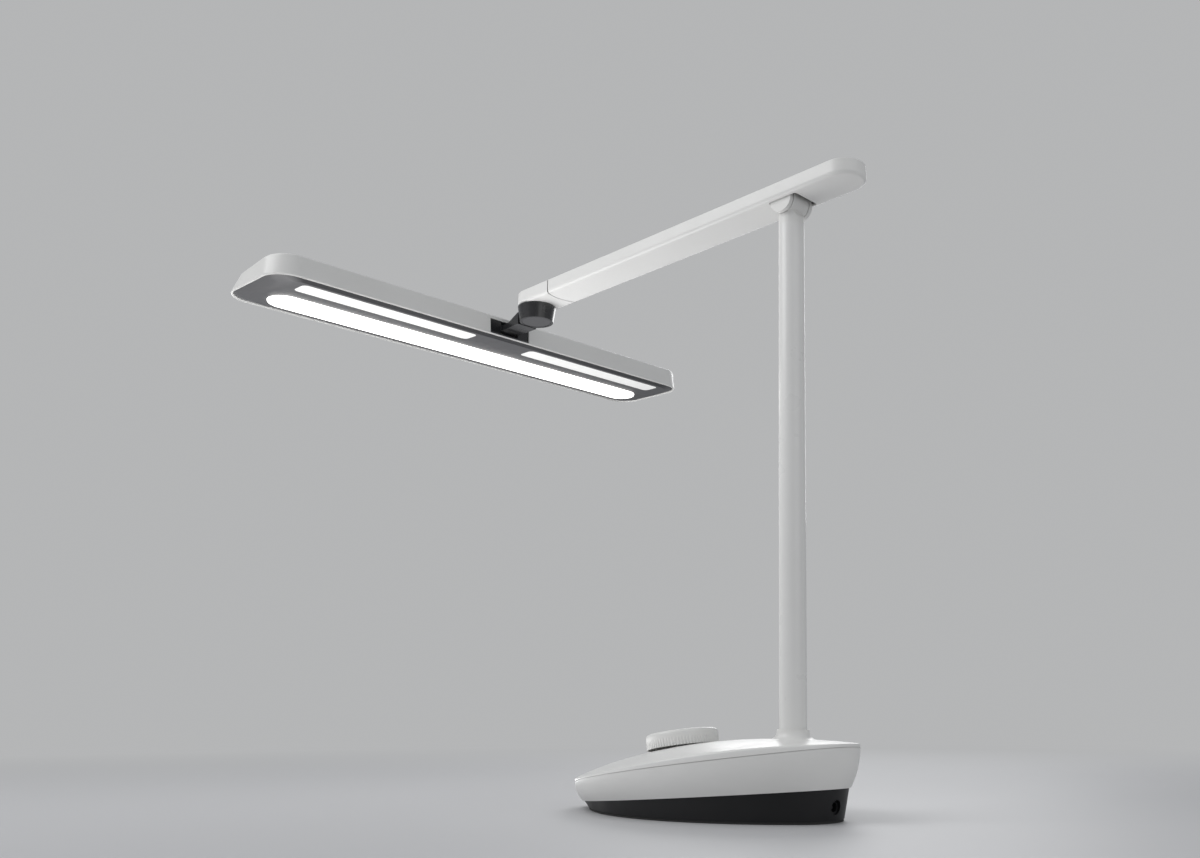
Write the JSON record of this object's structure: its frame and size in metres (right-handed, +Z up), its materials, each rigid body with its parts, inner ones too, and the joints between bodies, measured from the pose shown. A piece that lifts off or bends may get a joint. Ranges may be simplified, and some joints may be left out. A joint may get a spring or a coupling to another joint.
{
  "type": "desk lamp",
  "caption": "Desk lamp: wedge base with a fluted dial, upright post, tilting flat arm, and a long slim light head that swivels and tilts under the arm's end.",
  "frame": {"origin": "on the table, under the post's axis", "axes": "+Z up, -Y towards the user, where the arm, the dial and the low end of the base point; +X to the right of somebody looking along +Y"},
  "size_m": [0.462, 0.5088, 0.4652],
  "materials": {
    "white_shell": "satin",
    "white_insert": "fine satin",
    "white_tube": "satin",
    "white_joint": "satin",
    "black_shell": "satin",
    "black_joint": "satin",
    "grey_panel": "fine grain",
    "diffuser": "milky, lit",
    "slot_diffuser": "milky, unlit",
    "foot_rubber": "matt",
    "weight_iron": "raw",
    "bracket_steel": "dark zinc",
    "encoder_steel": "pressed",
    "screw_steel": "zinc",
    "standoff_brass": "turned",
    "circuit_board": "solder mask",
    "light_board": "white mask",
    "spreader_aluminium": "plain",
    "joint_washer": "dry",
    "lead_jacket": "satin"
  },
  "bodies": {
    "base": {"non_slip_pad": "foot_rubber", "bottom_plinth": "black_shell", "base_body": "white_shell", "base_top_cover": "white_shell", "case_screws": "screw_steel", "counterweight": "weight_iron", "post_socket": "bracket_steel", "socket_screws": "screw_steel", "post_tube": "white_tube", "hub_barrel": "white_joint", "post_lead": "lead_jacket", "board_standoffs": "standoff_brass", "control_board": "circuit_board", "board_screws": "screw_steel", "dc_inlet": "black_shell", "dial_encoder": "encoder_steel", "encoder_nut": "screw_steel"},
    "dial_push": {"encoder_plunger": "screw_steel"},
    "dial": {"dial_shaft": "screw_steel", "dial_knob": "white_shell", "dial_insert": "white_insert"},
    "arm": {"arm_body": "white_shell", "arm_top_cover": "white_shell", "hinge_frame": "white_joint", "hinge_pin": "screw_steel", "hinge_ear_caps": "white_joint", "hinge_washers": "joint_washer", "frame_screws": "screw_steel", "arm_end_cap": "white_shell", "cap_spigot": "black_joint", "arm_lead": "lead_jacket"},
    "swivel": {"swivel_drum": "black_joint", "drum_cap": "grey_panel", "swivel_bolt": "screw_steel", "swivel_washers": "screw_steel", "swivel_nut": "screw_steel"},
    "head": {"head_cover": "white_shell", "head_panel": "grey_panel", "main_diffuser": "diffuser", "side_diffuser_right": "slot_diffuser", "side_diffuser_left": "slot_diffuser", "main_light_board": "light_board", "side_light_boards": "light_board", "heat_spreader": "spreader_aluminium", "spreader_screws": "screw_steel", "hinge_block": "black_joint", "hinge_block_screws": "screw_steel", "tilt_pin": "screw_steel", "tilt_washers": "joint_washer"}
  },
  "joints": [
    {"name": "arm_tilt", "type": "hinge", "parent": "base", "child": "arm", "pos_m": [0, 0, 0.4503], "axis": [1, 0, 0], "range_deg": [-30, 30]},
    {"name": "head_swivel", "type": "hinge", "parent": "arm", "child": "swivel", "pos_m": [0, -0.30981, 0.43949], "axis": [0, -0.0349, 0.9994], "range_deg": [-90, 90]},
    {"name": "head_tilt", "type": "hinge", "parent": "swivel", "child": "head", "pos_m": [0, -0.35428, 0.42622], "axis": [1, 0, 0], "range_deg": [-25, 25]},
    {"name": "dial_press", "type": "slide", "parent": "base", "child": "dial_push", "axis": [0, 0.1514, -0.9885], "range_m": [0, 0.0008], "stiffness_N_per_m": 2500},
    {"name": "dial_turn", "type": "hinge", "parent": "dial_push", "child": "dial", "pos_m": [0, -0.106, 0.0457], "axis": [0, -0.1514, 0.9885], "continuous": true}
  ]
}
